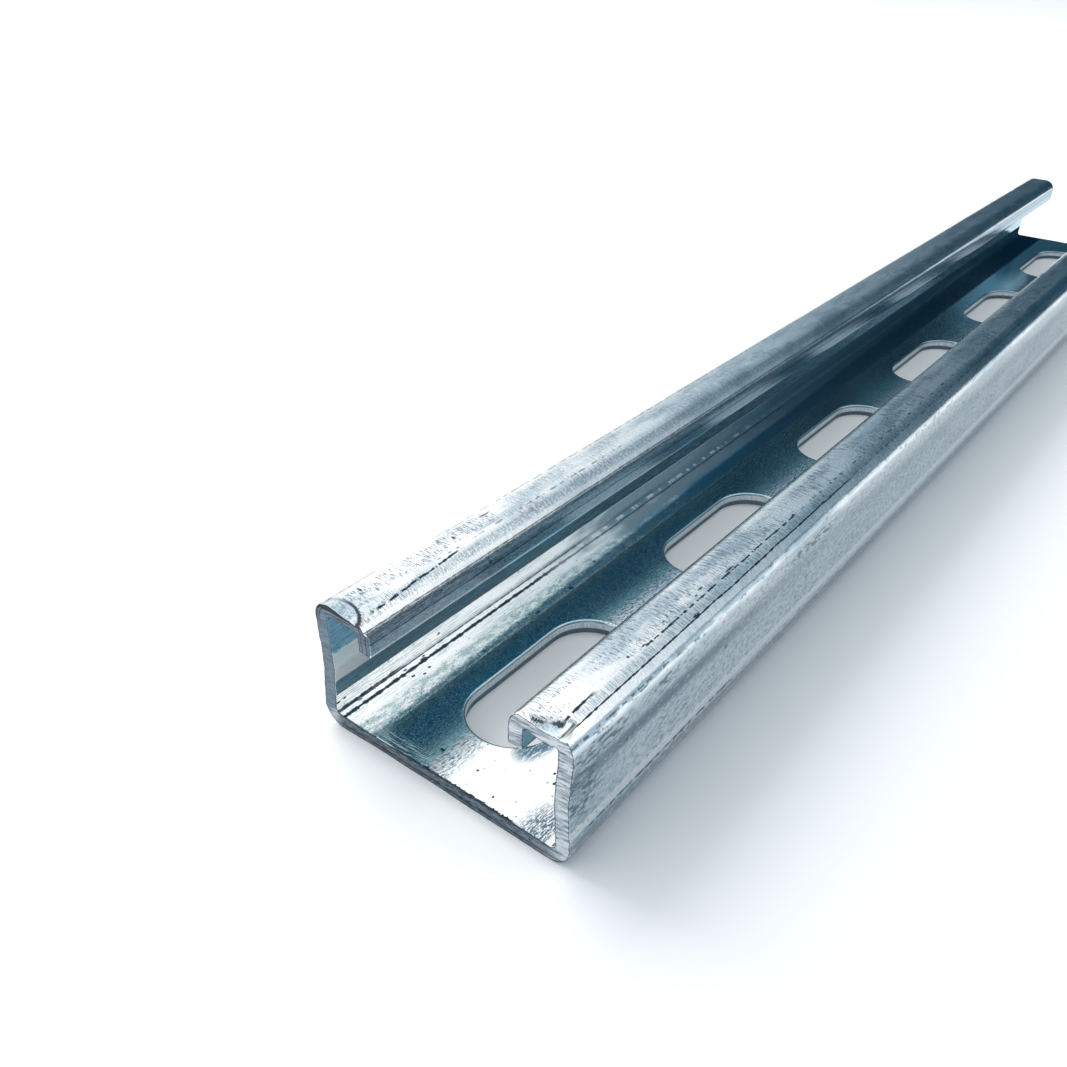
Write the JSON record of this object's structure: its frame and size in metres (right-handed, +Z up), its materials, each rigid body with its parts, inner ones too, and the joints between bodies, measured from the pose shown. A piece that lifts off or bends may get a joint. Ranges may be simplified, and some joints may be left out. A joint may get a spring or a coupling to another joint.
{
  "type": "strut channel",
  "caption": "Short cut length of roll-formed C section framing channel, open side up, with in-turned lips and a row of obround slots along its web.",
  "frame": {"origin": "on the underside of the web, at the middle of the length and of the width", "axes": "+X along the channel, +Y across it, +Z up out of the open side"},
  "size_m": [0.306, 0.0412, 0.0206],
  "materials": {
    "galvanised_steel": "bright zinc coating with fine roll marks, sawn ends left bare"
  },
  "bodies": {
    "root": {"strut_channel": "galvanised_steel"}
  },
  "joints": []
}
